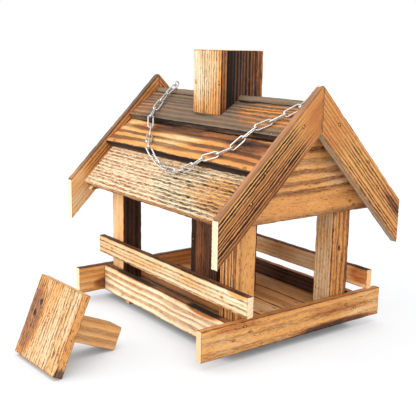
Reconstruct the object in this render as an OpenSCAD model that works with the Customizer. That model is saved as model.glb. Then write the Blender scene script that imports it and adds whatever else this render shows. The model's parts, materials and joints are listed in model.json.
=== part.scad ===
// House-shaped bird feeder of torched pine boards: a tray floor on two battens,
// four posts, a lapped plank roof, a chimney that is the seed hopper, its lift-out
// cap lying on the ground, and a hanging chain between two eye screws.
// +X runs along the ridge to the near gable, -Y is the front long side, +Z is up.
// The origin is on the ground under the middle of the house.

/* [Floor and rims] */
// Length of the floor along the ridge
floor_len = 282; // [270:1:290]
// Width of the floor across the house
floor_wid = 194; // [188:1:204]
// Thickness of a floor board
floor_t = 8; // [6:0.5:10]
// Gap between two floor boards
board_gap = 1; // [0.5:0.1:2]
// Number of floor boards
board_count = 5; // [5:2:7]
// Height of a batten under the floor
batten_h = 20; // [16:1:24]
// Thickness of a batten
batten_t = 10; // [8:1:14]
// Distance of a batten's middle from the floor's end
batten_in = 47; // [40:1:56]
// Height of a rim board
rim_h = 37.5; // [33:0.5:42]
// Thickness of a rim board
rim_t = 10; // [8:0.5:12]
// Height of the rims above the ground
rim_lift = 10; // [6:1:12]
// Length of an end rim past a long rim
end_rim_past = 40.5; // [28:0.5:48]

/* [Posts and rails] */
// Side of a square post
post_w = 30; // [26:1:34]
// Distance of a post's outer face from the floor's long edge
post_in = 4.2; // [3.5:0.1:6]
// Height of a perch rail
rail_h = 25; // [20:1:28]
// Thickness of a perch rail
rail_t = 9; // [7:0.5:10]
// Height of a rail's lower edge above the ground
rail_z = 60.7; // [56:0.1:66]
// Length of a rail past the floor at the far end
rail_far = 24; // [10:1:30]
// Length of a rail past the floor at the near end
rail_near = 34; // [10:1:36]

/* [Roof] */
// Height of the point where the barge boards meet
apex_z = 316.5; // [312:0.5:322]
// Pitch of the roof
pitch = 45; // [44:0.5:46]
// Length of the roof planks past a gable board
roof_past = 15; // [13:0.5:20]
// Gap left at the far end of the front eave plank
short_end = 7; // [0:1:12]
// Thickness of a roof plank
plank_t = 9; // [8:0.5:10]
// Depth of the planks' underside below the barge boards' top edge
plank_drop = 21.6; // [20:0.2:24]
// Upper edge of the eave plank, down the slope
eave_top_s = 121; // [118:1:124]
// Lower edge of the eave plank, down the slope
eave_low_s = 196; // [190:1:200]
// Upper edge of the middle plank, down the slope
mid_top_s = 73; // [70:1:76]
// Width of the middle plank
mid_w = 60; // [57:1:62]
// Lower edge of the ridge plank, down the slope
ridge_lip_s = 79; // [78:0.5:82]
// Width of a barge board
barge_w = 40; // [36:1:44]
// Thickness of a barge board
barge_t = 11; // [9:1:13]
// Reach of a barge board from the ridge line
barge_reach = 145.6; // [140:0.2:148]
// Angle by which the near front barge board sits flatter
barge_slip = 1.4; // [0:0.1:2]
// Thickness of a gable board
gable_t = 8; // [6:0.5:10]
// Height of a gable board's lower edge above the ground
gable_z = 158.4; // [155:0.2:162]

/* [Chimney] */
// Width of the chimney along the ridge
chimney_x = 60; // [56:1:64]
// Depth of the chimney across the ridge
chimney_y = 68; // [64:1:72]
// Thickness of a chimney board
chimney_t = 10; // [8:0.5:11]
// Height of the chimney's top above the ground
chimney_top = 353; // [345:1:365]
// Height of a seed outlet at the chimney's foot
outlet_h = 58; // [40:1:65]
// Clearance round the chimney in the roof
notch_gap = 0.5; // [0.2:0.1:1]
// Length of the saw cut that runs past the notch at the near side
kerf_near = 45; // [0.5:0.5:60]
// Length of the saw cut that runs past the notch at the far side
kerf_far = 22; // [0.5:0.5:50]

/* [Cap] */
// Width of the cap's plate
cap_w = 94.4; // [90:0.2:100]
// Height of the cap's plate
cap_h = 95.4; // [90:0.2:100]
// Thickness of the cap's plate
cap_t = 10.8; // [8:0.2:12]
// Side of the cap's square plug
plug_w = 28.8; // [26:0.2:34]
// Length of the plug
plug_len = 81.4; // [70:0.2:90]
// Distance of the plug from the plate's middle
plug_off = 2.2; // [0:0.1:4]

/* [Chain] */
// Number of links
link_count = 23; // [21:2:23]
// Diameter of the links' wire
link_wire = 2.1; // [1.8:0.1:2.2]
// Outer width of a link
link_w = 9; // [8.6:0.1:9.2]
// Diameter of the eye screws' wire
eye_wire = 2; // [1.8:0.1:2.2]
// Outer diameter of an eye screw's ring
eye_d = 9.2; // [9:0.1:10]
// Height of a ring's middle above the ridge
eye_up = 7.6; // [7:0.1:9]

/* [Brads] */
// Diameter of a brad's shank
brad_d = 1.3; // [1:0.1:1.6]
// Diameter of a brad's head
brad_head = 2.6; // [2.2:0.1:3]
// Length of a brad
brad_len = 24; // [22:1:26]

/* [Hidden] */
$fn = 24;
pine = "burlywood";
burnt = "saddlebrown";
steel = "silver";
brass = "goldenrod";

// Heights and faces that several boards share
floor_top = batten_h + floor_t;
half_len = floor_len / 2;
half_wid = floor_wid / 2;
end_x = half_len + rim_t;
long_y = half_wid + rim_t;
post_y = half_wid - post_in;
board_w = (floor_wid + board_gap) / board_count - board_gap;
gable_x = half_len + gable_t;
batten_x = half_len - batten_in;
roof_x = gable_x + roof_past;
end_rim_y = long_y + end_rim_past;
shaft_x = chimney_x / 2 - chimney_t;
shaft_y = chimney_y / 2 - chimney_t;

// Roof profile: each point is its distance down the slope and its height over the
// line along the barge boards' top edge, both from the point where the boards meet
lap_tilt = atan(plank_t / (eave_top_s - mid_top_s));
lap_dir = [cos(lap_tilt), sin(lap_tilt)];
lap_up = [-sin(lap_tilt), cos(lap_tilt)];
eave_top_h = plank_t - plank_drop;
mid_a = [mid_top_s, -plank_drop];
mid_b = mid_a + mid_w * lap_dir;
mid_c = mid_b + plank_t * lap_up;
mid_d = mid_a + plank_t * lap_up;
ridge_b = mid_d + (ridge_lip_s - mid_d[0]) / lap_dir[0] * lap_dir;
ridge_c = ridge_b + plank_t * lap_up;
eave_profile = [
  [eave_top_s, -plank_drop], [eave_low_s, -plank_drop],
  [eave_low_s, eave_top_h], [eave_top_s, eave_top_h]
];

// A profile point as distance from the ridge line and height above the ground
function across(p) = [
  p[0] * cos(pitch) + p[1] * sin(pitch),
  apex_z - p[0] * sin(pitch) + p[1] * cos(pitch)
];

// Ridge joint: the back ridge plank's square end laps over the front one
ridge_slope = pitch - lap_tilt;
ridge_z = across(ridge_c)[1] + across(ridge_c)[0] * tan(ridge_slope);
ridge_lap = plank_t * cos(2 * ridge_slope) / (2 * sin(ridge_slope));
joint_gap = 0.2;
ridge_r = [-ridge_lap, ridge_z + ridge_lap * tan(ridge_slope)];
ridge_s = ridge_r - plank_t * [sin(ridge_slope), cos(ridge_slope)];
ridge_p = ridge_s - joint_gap * [cos(ridge_slope), sin(ridge_slope)];
ridge_q = ridge_p + plank_t * [sin(ridge_slope), -cos(ridge_slope)];
kerf_w = 1.4;

// Line that the posts and gable boards are cut to, under the planks
function support_z(y) = apex_z - plank_drop / cos(pitch) - abs(y) * tan(pitch);
under_z = ridge_z - plank_t / cos(ridge_slope);
gable_flat = max(0.5, (support_z(0) - under_z) / (tan(pitch) - tan(ridge_slope)));
gable_y = (support_z(0) - gable_z) / tan(pitch);

// Cap on the ground: it leans on the plate's lower edge and the plug's end
cap_place = [34.3, -285.2, 0];
cap_turn = 3.5;
cap_lean = atan((cap_h / 2 - plug_w / 2 + plug_off) / plug_len);

// Brads: how far they stand from the edges of the boards that they join. A rim's spot
// is the side, the way in from the long rim's face and the height over the rim's foot,
// a gable's the way in from the post's face and the height over the gable's foot
brad_tip = 2;
brad_gap = 0.1;
head_t = 0.8;
rim_brad_spots = [[-1, 6, 17], [-1, 23, 31], [-1, 31, 23], [1, 23, 25], [1, 6, 18]];
gable_brad_spots = [[11, 13], [4, 8]];
post_brad_in = 13;
long_rim_brad_z = 15;
brad_miss = 3;
foot_brad_in = 18;
roof_brad_len = 28;
board_brad_y = 11;
foot_brad_x = 14;
chimney_brad_downs = [253, 153, 41];
barge_brad_ss = [52, 124, 160];
roof_brad_ss = [74, 126, 170];
cap_brad_spots = [[-4, 7], [-4, -4]];

// Chain: each spot of its route is a share of the way from the far eye to the near
// one, and a distance down the front slope
eye_far_in = 46;
eye_near_in = 6;
eye_xs = [eye_far_in - roof_x, roof_x - eye_near_in];
eye_z = ridge_z + eye_up;
ring_r = (eye_d - eye_wire) / 2;
screw_below = 11.5;
screw_d = eye_wire - 0.2;
route_spots = [
  [0.0145, 36], [0.0507, 64], [0.1232, 94], [0.2391, 124], [0.3841, 145],
  [0.529, 149], [0.6594, 137], [0.7681, 112], [0.8551, 79], [0.9275, 52], [0.985, 33]
];
link_play = 0.5;
rail_thin = 0.1;
rail_bite = 0.4;
link_cross = link_wire + link_play;
crown_r = (link_w - link_wire) / 2;
eye_play = 0.4;
hook = ring_r - eye_wire / 2 - link_wire / 2 - eye_play;
chain_lift = crown_r * sin(45) + link_wire / 2 + 0.6;
lip_lift = 2;
eye_lift = 1.8;
end_reach = hook + link_cross / 2;
ridge_low_s = 34;
lip_before = 16;
lip_after = 20;
end_rolls = [30, 10];

// A polygon across the house, drawn out along the ridge
module across_bar(x0, x1, points) {
  translate([x0, 0, 0])
    rotate([90, 0, 90])
      linear_extrude(x1 - x0)
        polygon(points);
}

// Children in a slope's own frame: along the ridge, up the slope, square to it
module on_slope(side) {
  translate([0, 0, apex_z])
    mirror([0, side > 0 ? 1 : 0, 0])
      rotate([pitch, 0, 0])
        children();
}

// A roof profile drawn out along the ridge on one slope
module slope_bar(side, x0, x1, profile) {
  on_slope(side)
    across_bar(x0, x1, [for (p = profile) [-p[0], p[1]]]);
}

// One brad, its head's top at the origin and its point down
module brad(len = brad_len) {
  color(brass) {
    translate([0, 0, -head_t])
      cylinder(h = head_t, d = brad_head);
    translate([0, 0, -len + brad_tip])
      cylinder(h = len - brad_tip - head_t, d = brad_d);
    translate([0, 0, -len])
      cylinder(h = brad_tip, d1 = 0.3, d2 = brad_d);
  }
}

// The hole that a brad goes into, open above the wood
module brad_hole(len = brad_len) {
  translate([0, 0, -head_t - brad_gap / 2])
    cylinder(h = 2 * head_t + 1, d = brad_head + brad_gap);
  translate([0, 0, -len - brad_gap])
    cylinder(h = len, d = brad_d + brad_gap);
}

// Places of the brads through the end rims
module at_rim_brads() {
  for (side = [-1, 1], spot = rim_brad_spots)
    translate([side * end_x, spot[0] * (long_y - spot[1]), rim_lift + spot[2]])
      rotate([0, side * 90, 0])
        children();
}

// Places of the brads through the long rims into the battens
module at_batten_brads() {
  for (side = [-1, 1], x = [-1, 1])
    translate([x * (batten_x - brad_miss), side * long_y, long_rim_brad_z])
      rotate([-side * 90, 0, 0])
        children();
}

// Places of the brads through the rails into the posts
module at_rail_brads() {
  for (side = [-1, 1], x = [-half_len + post_brad_in, half_len - post_brad_in])
    translate([x, side * (post_y + rail_t), rail_z + rail_h / 2])
      rotate([-side * 90, 0, 0])
        children();
}

// Places of the brads through the gable boards into the posts
module at_gable_brads() {
  for (side = [-1, 1], y = [-1, 1], spot = gable_brad_spots)
    translate([side * gable_x, y * (post_y - spot[0]), gable_z + spot[1]])
      rotate([0, side * 90, 0])
        children();
}

// Height of the middle of the planks at a distance down the slope
function plank_mid_h(s) =
  s > mid_b[0] ? -plank_drop + plank_t / 2 :
  s > ridge_lip_s ? mid_a[1] + (s - mid_a[0]) * tan(lap_tilt) + plank_t / 2 :
  ridge_b[1] + (s - ridge_b[0]) * tan(lap_tilt) + plank_t / 2;

// Height of the roof's upper surface at a distance down the slope
function roof_h(s) =
  s > mid_b[0] ? eave_top_h :
  plank_mid_h(s) - plank_t / 2 + plank_t / cos(lap_tilt);

// Places of the brads through the barge boards into the planks' ends
module at_barge_brads() {
  for (side = [-1, 1], slope = [-1, 1], s = barge_brad_ss)
    on_slope(slope)
      translate([side * (roof_x + barge_t), -s, plank_mid_h(s)])
        rotate([0, side * 90, 0])
          children();
}

// Places of the brads down through the planks into the gable boards
module at_roof_brads() {
  for (side = [-1, 1], slope = [-1, 1], s = roof_brad_ss)
    on_slope(slope)
      translate([side * (half_len + gable_t / 2), -s, roof_h(s)])
        rotate([s > mid_b[0] ? 0 : -lap_tilt, 0, 0])
          children();
}

// Places of the brads through the chimney's front and back into its sides
module at_chimney_brads() {
  for (side = [-1, 1], x = [-1, 1], down = chimney_brad_downs)
    translate([x * (shaft_x + chimney_t / 2), side * chimney_y / 2, chimney_top - down])
      rotate([-side * 90, 0, 0])
        children();
}

// Places of the brads down through the floor boards into the battens
module at_board_brads() {
  for (i = [0:board_count - 1], x = [-batten_x, batten_x], y = [-1, 1])
    translate([x, board_mid(i) + y * board_brad_y, floor_top])
      children();
}

// Places of the brads up through the floor into the posts and the chimney
module at_foot_brads() {
  for (x = [-1, 1], y = [-1, 1]) {
    translate([x * (half_len - foot_brad_in), y * (post_y - foot_brad_in), batten_h])
      rotate([180, 0, 0])
        children();
    translate([x * foot_brad_x, y * (shaft_y + chimney_t / 2), batten_h])
      rotate([180, 0, 0])
        children();
  }
}

// Places of the brads through the cap's plate into its plug, in the cap's frame
module at_cap_brads() {
  for (spot = cap_brad_spots)
    translate([spot[0], -cap_t, cap_h / 2 + plug_off + spot[1]])
      rotate([90, 0, 0])
        children();
}

// Middle of a floor board across the house
function board_mid(i) = -half_wid + board_w / 2 + i * (board_w + board_gap);

module floor_board(i) {
  color(pine)
    difference() {
      translate([-half_len, board_mid(i) - board_w / 2, batten_h])
        cube([floor_len, board_w, floor_t]);
      at_board_brads() brad_hole();
      at_foot_brads() brad_hole();
    }
}

module batten(side) {
  color(burnt)
    difference() {
      translate([side * batten_x - batten_t / 2, -half_wid, 0])
        cube([batten_t, floor_wid, batten_h]);
      at_board_brads() brad_hole();
      at_batten_brads() brad_hole();
    }
}

module long_rim(side) {
  color(pine)
    difference() {
      translate([-half_len, side > 0 ? half_wid : -long_y, rim_lift])
        cube([floor_len, rim_t, rim_h]);
      at_rim_brads() brad_hole();
      at_batten_brads() brad_hole();
    }
}

module end_rim(side) {
  color(pine)
    difference() {
      translate([side > 0 ? half_len : -end_x, -end_rim_y, rim_lift])
        cube([rim_t, 2 * end_rim_y, rim_h]);
      at_rim_brads() brad_hole();
    }
}

module post(x_side, y_side) {
  inner_y = post_y - post_w;
  color(burnt)
    difference() {
      mirror([0, y_side > 0 ? 0 : 1, 0])
        across_bar(
          x_side > 0 ? half_len - post_w : -half_len,
          x_side > 0 ? half_len : -half_len + post_w,
          [[inner_y, floor_top], [post_y, floor_top],
           [post_y, support_z(post_y)], [inner_y, support_z(inner_y)]]
        );
      at_rim_brads() brad_hole();
      at_rail_brads() brad_hole();
      at_gable_brads() brad_hole();
      at_foot_brads() brad_hole();
    }
}

module rail(side) {
  color(burnt)
    difference() {
      translate([-half_len - rail_far, side > 0 ? post_y : -post_y - rail_t, rail_z])
        cube([floor_len + rail_far + rail_near, rail_t, rail_h]);
      at_rail_brads() brad_hole();
    }
}

module gable(side) {
  color(pine)
    difference() {
      across_bar(
        side > 0 ? half_len : -gable_x, side > 0 ? gable_x : -half_len,
        [[-gable_y, gable_z], [gable_y, gable_z],
         [gable_flat, support_z(gable_flat)], [-gable_flat, support_z(gable_flat)]]
      );
      at_gable_brads() brad_hole();
      at_roof_brads() brad_hole(roof_brad_len);
    }
}

module eave_plank(slope) {
  color(pine)
    difference() {
      slope_bar(slope, slope > 0 ? -roof_x : -roof_x + short_end, roof_x, eave_profile);
      at_barge_brads() brad_hole();
      at_roof_brads() brad_hole(roof_brad_len);
    }
}

module mid_plank(slope) {
  color(burnt)
    difference() {
      slope_bar(slope, -roof_x, roof_x, [mid_a, mid_b, mid_c, mid_d]);
      at_barge_brads() brad_hole();
      at_roof_brads() brad_hole(roof_brad_len);
    }
}

// The chimney's notch, and the saw cuts that run past it along the ridge joint, from
// well below the planks' lower edge to over the ridge
module ridge_cuts(kerf_y) {
  notch_x = chimney_x + 2 * notch_gap;
  notch_y = chimney_y + 2 * notch_gap;
  cut_z = across(ridge_b)[1] - plank_t;
  cut_h = ridge_z + plank_t - cut_z;
  translate([-notch_x / 2, -notch_y / 2, cut_z])
    cube([notch_x, notch_y, cut_h]);
  translate([-notch_x / 2 - kerf_far, kerf_y, cut_z])
    cube([notch_x + kerf_far + kerf_near, kerf_w, cut_h]);
}

module ridge_plank(slope) {
  low_b = across(ridge_b);
  low_c = across(ridge_c);
  color("gray")
    difference() {
      across_bar(
        -roof_x, roof_x,
        slope > 0 ? [ridge_r, ridge_s, low_b, low_c] :
          [ridge_q, ridge_p, [-low_c[0], low_c[1]], [-low_b[0], low_b[1]]]
      );
      ridge_cuts(ridge_s[0] - kerf_w);
      at_barge_brads() brad_hole();
      at_roof_brads() brad_hole(roof_brad_len);
      for (x = eye_xs)
        translate([x, 0, under_z - plank_t])
          cylinder(h = ridge_z + 2 * plank_t - under_z, d = screw_d + brad_gap);
    }
}

module barge(x_side, slope, slip = 0) {
  angle = pitch - slip;
  fall = barge_reach * tan(angle);
  plumb = barge_w / cos(angle);
  color(pine)
    difference() {
      mirror([0, slope > 0 ? 0 : 1, 0])
        across_bar(
          x_side > 0 ? roof_x : -roof_x - barge_t,
          x_side > 0 ? roof_x + barge_t : -roof_x,
          [[0, apex_z], [barge_reach, apex_z - fall],
           [barge_reach, apex_z - fall - plumb], [0, apex_z - plumb]]
        );
      at_barge_brads() brad_hole();
    }
}

module chimney_face(side) {
  color(pine)
    difference() {
      translate([-chimney_x / 2, side > 0 ? shaft_y : -chimney_y / 2, floor_top])
        cube([chimney_x, chimney_t, chimney_top - floor_top]);
      at_chimney_brads() brad_hole();
      at_foot_brads() brad_hole();
    }
}

module chimney_cheek(side) {
  foot = floor_top + outlet_h;
  color(burnt)
    difference() {
      translate([side > 0 ? shaft_x : -chimney_x / 2, -shaft_y, foot])
        cube([chimney_t, 2 * shaft_y, chimney_top - foot]);
      at_chimney_brads() brad_hole();
    }
}

// Children in the frame of the cap where it lies: the plate's inner face is the
// plane y = 0, its lower edge the X axis, and the plug points along +Y
module cap_frame() {
  translate(cap_place)
    rotate([0, 0, cap_turn])
      rotate([-cap_lean, 0, 0])
        children();
}

module cap_plate() {
  color(pine)
    cap_frame()
      difference() {
        translate([-cap_w / 2, -cap_t, 0])
          cube([cap_w, cap_t, cap_h]);
        at_cap_brads() brad_hole();
      }
}

module cap_plug() {
  color("wheat")
    cap_frame()
      difference() {
        translate([-plug_w / 2, 0, cap_h / 2 + plug_off - plug_w / 2])
          cube([plug_w, plug_len, plug_w]);
        at_cap_brads() brad_hole();
      }
}

module eye_screw(x) {
  color(steel)
    translate([x, 0, eye_z]) {
      rotate([0, 90, 0])
        rotate_extrude()
          translate([ring_r, 0])
            circle(d = eye_wire);
      translate([0, 0, -eye_up - screw_below + brad_tip])
        cylinder(h = eye_up + screw_below - brad_tip - ring_r, d = screw_d);
      translate([0, 0, -eye_up - screw_below])
        cylinder(h = brad_tip, d1 = 0.4, d2 = screw_d);
    }
}

// The chain's end in a ring, in the slope's own frame, and the route between both
eye_s = (apex_z - eye_z) * sin(pitch);
eye_h = (eye_z - apex_z) * cos(pitch);
eye_gap = eye_xs[1] - eye_xs[0];
chain_route = concat(
  [[eye_xs[0], eye_s]],
  [for (spot = route_spots) [eye_xs[0] + spot[0] * eye_gap, spot[1]]],
  [[eye_xs[1], eye_s]]
);
route_end = len(chain_route) - 1;

// Height of the chain's middle line over the barge line: it lies on the planks and
// bridges the step below each lip
chain_profile = [
  [eye_s, eye_h],
  [ridge_low_s, roof_h(ridge_low_s) + chain_lift + eye_lift],
  [ridge_c[0] - lip_before, roof_h(ridge_c[0] - lip_before) + chain_lift],
  [ridge_c[0], ridge_c[1] + chain_lift + lip_lift],
  [ridge_lip_s + lip_after, roof_h(ridge_lip_s + lip_after) + chain_lift],
  [mid_c[0] - lip_before, roof_h(mid_c[0] - lip_before) + chain_lift],
  [mid_c[0], mid_c[1] + chain_lift + lip_lift],
  [mid_b[0] + lip_after, eave_top_h + chain_lift],
  [eave_low_s, eave_top_h + chain_lift]
];

// A smooth curve through the route's points, at the parameter u
function curve(p, u) =
  let (
    last = len(p) - 1,
    i = min(floor(u), last - 1),
    t = u - i,
    a = p[max(i - 1, 0)],
    b = p[i],
    c = p[i + 1],
    d = p[min(i + 2, last)]
  )
  0.5 * (2 * b + (c - a) * t + (2 * a - 5 * b + 4 * c - d) * t ^ 2
    + (3 * b - 3 * c + d - a) * t ^ 3);

// The route's point at u, lifted onto the roof
function route_at(u) =
  let (p = curve(chain_route, u))
  [p[0], -p[1], lookup(p[1], chain_profile)];

// Parameter of the point at a straight distance from the point at u, by halving
function step_on(u, dist, lo, hi, n = 20) =
  n == 0 ? (lo + hi) / 2 :
  let (mid = (lo + hi) / 2)
  norm(route_at(mid) - route_at(u)) < dist ?
    step_on(u, dist, mid, hi, n - 1) :
    step_on(u, dist, lo, mid, n - 1);

// Parameters of the links' upper ends, one straight link after another
function joints(step, u = 0, i = 0) =
  i == link_count - 1 ? [u] :
  concat([u], joints(step,
    step_on(u, step + (i == 0 ? end_reach : 0), u, min(u + 3, route_end)), i + 1));

// What the last link lacks to its eye when the links are a step apart
function miss(step) =
  let (us = joints(step))
  norm(route_at(route_end) - route_at(us[link_count - 1])) - step - end_reach;

// The step between links that makes the last one end at its eye, by halving
function fit_step(lo, hi, n = 20) =
  n == 0 ? (lo + hi) / 2 :
  let (mid = (lo + hi) / 2)
  miss(mid) > 0 ? fit_step(mid, hi, n - 1) : fit_step(lo, mid, n - 1);

// Roll of a link about its length: neighbours stand crosswise, and the end links
// lie nearly flat in their rings
function link_roll(i) =
  let (from_end = min(i, link_count - 1 - i))
  (i % 2 == 0 ? -45 : 45) + (from_end < len(end_rolls) ? end_rolls[from_end] : 0);

// One link along X, its length measured on the wire's middle line; its rails are a
// hair thinner than its bends, so that they end inside them
module chain_link(len) {
  straight = len - 2 * crown_r;
  rail_len = straight + 2 * rail_bite;
  for (side = [-1, 1]) {
    translate([-rail_len / 2, side * crown_r, 0])
      rotate([0, 90, 0])
        cylinder(h = rail_len, d = link_wire - rail_thin);
    translate([side * straight / 2, 0, 0])
      rotate([0, 0, -side * 90])
        rotate_extrude(angle = 180)
          translate([crown_r, 0])
            circle(d = link_wire);
  }
}

module chain_links() {
  step = fit_step(14, 24);
  us = concat(joints(step), [route_end]);
  color(steel)
    on_slope(-1)
      for (i = [0:link_count - 1]) {
        a = route_at(us[i]);
        b = route_at(us[i + 1]);
        dir = (b - a) / norm(b - a);
        start = a + (i == 0 ? hook : -link_cross / 2) * dir;
        end = b - (i == link_count - 1 ? hook : -link_cross / 2) * dir;
        translate((start + end) / 2)
          rotate([link_roll(i), -asin(dir[2]), atan2(dir[1], dir[0])])
            chain_link(norm(end - start));
      }
}

module rim_brads() {
  at_rim_brads() brad();
  at_batten_brads() brad();
}

module rail_brads() {
  at_rail_brads() brad();
}

module gable_brads() {
  at_gable_brads() brad();
}

module barge_brads() {
  at_barge_brads() brad();
}

module roof_brads() {
  at_roof_brads() brad(roof_brad_len);
}

module chimney_brads() {
  at_chimney_brads() brad();
}

module floor_brads() {
  at_board_brads() brad();
  at_foot_brads() brad();
}

module cap_brads() {
  cap_frame() at_cap_brads() brad();
}

floor_board(0);  // floor_board_1
floor_board(1);  // floor_board_2
floor_board(2);  // floor_board_3
floor_board(3);  // floor_board_4
floor_board(4);  // floor_board_5
batten(-1);  // batten_far
batten(1);  // batten_near
long_rim(-1);  // front_rim
long_rim(1);  // back_rim
end_rim(-1);  // far_end_rim
end_rim(1);  // near_end_rim
post(-1, -1);  // post_front_far
post(1, -1);  // post_front_near
post(-1, 1);  // post_back_far
post(1, 1);  // post_back_near
rail(-1);  // front_rail
rail(1);  // back_rail
gable(-1);  // far_gable
gable(1);  // near_gable
eave_plank(-1);  // front_eave_plank
mid_plank(-1);  // front_middle_plank
ridge_plank(-1);  // front_ridge_plank
eave_plank(1);  // back_eave_plank
mid_plank(1);  // back_middle_plank
ridge_plank(1);  // back_ridge_plank
barge(-1, -1);  // barge_front_far
barge(1, -1, barge_slip);  // barge_front_near
barge(-1, 1);  // barge_back_far
barge(1, 1);  // barge_back_near
chimney_face(-1);  // chimney_front
chimney_face(1);  // chimney_back
chimney_cheek(-1);  // chimney_cheek_far
chimney_cheek(1);  // chimney_cheek_near
cap_plate();
cap_plug();
eye_screw(eye_xs[0]);  // eye_screw_far
eye_screw(eye_xs[1]);  // eye_screw_near
chain_links();
rim_brads();
rail_brads();
gable_brads();
barge_brads();
roof_brads();
chimney_brads();
floor_brads();
cap_brads();
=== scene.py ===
"""Looks of the bird feeder: torched pine boards, a plated chain with its eye screws,
brass brads, the loose cap of the seed hopper and a white studio stage."""

import functools
import json
import math

import bpy
import numpy as np
from mathutils import Matrix, Vector

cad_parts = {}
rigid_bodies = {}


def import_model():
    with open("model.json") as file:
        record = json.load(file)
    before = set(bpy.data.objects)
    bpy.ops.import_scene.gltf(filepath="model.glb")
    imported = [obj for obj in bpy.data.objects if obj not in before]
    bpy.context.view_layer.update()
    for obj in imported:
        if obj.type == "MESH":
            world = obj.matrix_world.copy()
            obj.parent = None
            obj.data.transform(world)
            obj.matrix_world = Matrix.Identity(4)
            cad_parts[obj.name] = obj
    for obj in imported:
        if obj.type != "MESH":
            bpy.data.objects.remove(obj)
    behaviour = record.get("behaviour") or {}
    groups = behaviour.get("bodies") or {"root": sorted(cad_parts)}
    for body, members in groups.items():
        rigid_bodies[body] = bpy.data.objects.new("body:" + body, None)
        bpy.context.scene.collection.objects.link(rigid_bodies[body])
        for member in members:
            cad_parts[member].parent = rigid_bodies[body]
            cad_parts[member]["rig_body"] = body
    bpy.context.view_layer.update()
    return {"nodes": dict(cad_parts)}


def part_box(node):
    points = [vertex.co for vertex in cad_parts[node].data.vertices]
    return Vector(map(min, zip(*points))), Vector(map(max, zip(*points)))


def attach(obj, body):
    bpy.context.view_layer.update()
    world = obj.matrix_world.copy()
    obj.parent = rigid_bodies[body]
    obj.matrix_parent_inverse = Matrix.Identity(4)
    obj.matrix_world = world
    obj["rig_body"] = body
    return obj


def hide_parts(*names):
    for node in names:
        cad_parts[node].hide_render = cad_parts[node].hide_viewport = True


bl_info = {
    "name": "Torched pine bird feeder",
    "version": (1, 0, 0),
    "blender": (4, 5, 0),
    "location": "3D View > Sidebar > Feeder",
    "description": "Dresses the feeder's frame in torched pine, plated steel and brass",
    "category": "Object",
}

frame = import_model()
MM = 0.001


# Finishes of the boards

# What a board has unless its own row says otherwise. Lengths are in millimetres, and
# the torching goes from 0, bare wood, to 1, charred.
PLAIN = {
    "level": 0.24,  # torching of the whole board
    "along": 0.0,  # more of it towards the board's +grain end
    "across": 0.0,  # more of it towards the +side edge
    "patchy": 0.10,  # more and less of it in soft patches
    "rim": 0.22,  # more of it in a narrow band along the edges
    "edge": 0.20,  # more of it on the narrow edge faces
    "end": 0.16,  # torching of the sawn ends
    "back": 0.10,  # more of it on the face that looks inwards
    "lower": 0.0,  # pale grey of the narrow face on the -side
    "upper": 0.0,  # and of the one on the +side
    "grey": 0.0,  # weathered grey where the wood is well torched
    "line": 0.85,  # how dark the late wood is against the early wood
    "burn": 0.1,  # how much further the torch went in the late wood
    "spacing": 5.0,  # of the growth rings
    "width": 0.28,  # share of a ring that is late wood
    "soft": 0.25,  # share of a ring that is on the way to it
    "dash": 0.25,  # how much the dark lines break up
    "waver": 3.0,  # how far the rings bend
    "fleck": 0.2,  # dark flecks along the grain
    "drift": 0.0,  # how much deeper the pith lies towards the +grain end
    "pith": (-45.0, -75.0),  # its depth below the face and shift to the side
    "knots": (),  # (along, across, radius), two at most
    # Ovals (along, across, half length, half width, how much), from the board's middle
    "scorch": (),  # where the torch stayed longer, and where shade and light are painted
    "burns": (),  # where it went further in the late wood
    "calm": (),  # where the grain's lines fade out
}


def finish(**changes):
    """A board's finish: the plain one with its own changes."""
    return {**PLAIN, **changes}


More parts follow.
